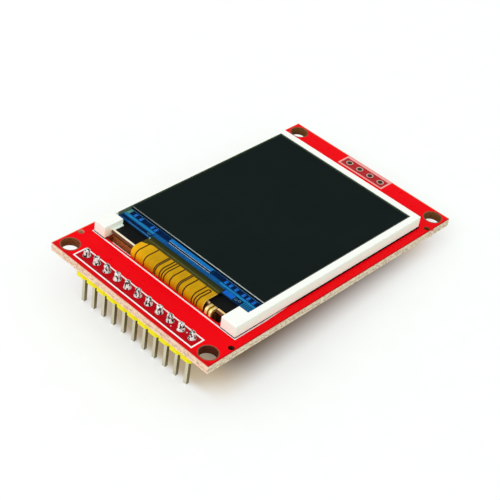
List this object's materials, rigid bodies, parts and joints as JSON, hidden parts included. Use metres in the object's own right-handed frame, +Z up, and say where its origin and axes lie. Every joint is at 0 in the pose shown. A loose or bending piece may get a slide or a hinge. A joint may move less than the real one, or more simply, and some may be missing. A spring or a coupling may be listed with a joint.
{
  "type": "tft display module",
  "caption": "Small colour display panel in a white frame on a red circuit board, with a pin header at one end, a folded flexible circuit and a card socket underneath.",
  "frame": {"origin": "centre of the four mounting holes, on the underside of the circuit board", "axes": "+X along the pin header, +Y from the pin header to the far end of the board, +Z up through the display"},
  "size_m": [0.0381, 0.0618, 0.0125],
  "materials": {
    "solder_mask_red": "semi-gloss red solder mask over pale glass-fibre laminate",
    "tinned_copper": "tinned copper",
    "yellow_plastic": "moulded, satin",
    "pin_metal": "bright tin and gold plating",
    "solder": "bright solder",
    "white_plastic": "moulded, satin",
    "black_tape": "matt film",
    "clear_tape": "adhesive film",
    "reflector_film": "white pearl film",
    "clear_acrylic": "polished clear",
    "optical_film": "translucent satin film",
    "lamp_body": "moulded lamp with yellow phosphor",
    "amber_film": "polyimide film over copper tracks",
    "polariser_film": "dark gloss film",
    "display_glass": "polished, with blue circuit layers",
    "filter_glass": "polished, with ground edges",
    "driver_silicon": "polished bare silicon",
    "socket_plastic": "moulded, satin",
    "shell_steel": "stamped sheet, nickel plated",
    "contact_gold": "gold flash over spring bronze",
    "black_epoxy": "moulded epoxy",
    "resistor_black": "glazed film on ceramic",
    "capacitor_tan": "fired ceramic"
  },
  "bodies": {
    "root": {"circuit_board": "solder_mask_red", "header_pads": "tinned_copper", "card_header_pads": "tinned_copper", "header_housing": "yellow_plastic", "header_pins": "pin_metal", "header_solder": "solder", "panel_tape": "clear_tape", "lcd_frame": "white_plastic", "reflector_sheet": "reflector_film", "light_guide": "clear_acrylic", "diffuser_film": "optical_film", "prism_film_lower": "optical_film", "prism_film_upper": "optical_film", "backlight_lamps": "lamp_body", "lamp_flex": "amber_film", "shield_tape": "black_tape", "lower_polariser": "polariser_film", "array_glass": "display_glass", "filter_glass": "filter_glass", "top_polariser": "polariser_film", "driver_chip": "driver_silicon", "flex_cable": "amber_film", "underside_pads": "tinned_copper", "flex_solder": "solder", "socket_base": "socket_plastic", "socket_shell": "shell_steel", "socket_contacts": "contact_gold", "regulator_body": "black_epoxy", "regulator_leads": "tinned_copper", "transistor_body": "black_epoxy", "transistor_leads": "tinned_copper", "resistor_bodies": "resistor_black", "resistor_terminals": "tinned_copper", "capacitor_bodies": "capacitor_tan", "capacitor_terminals": "tinned_copper"}
  },
  "joints": []
}
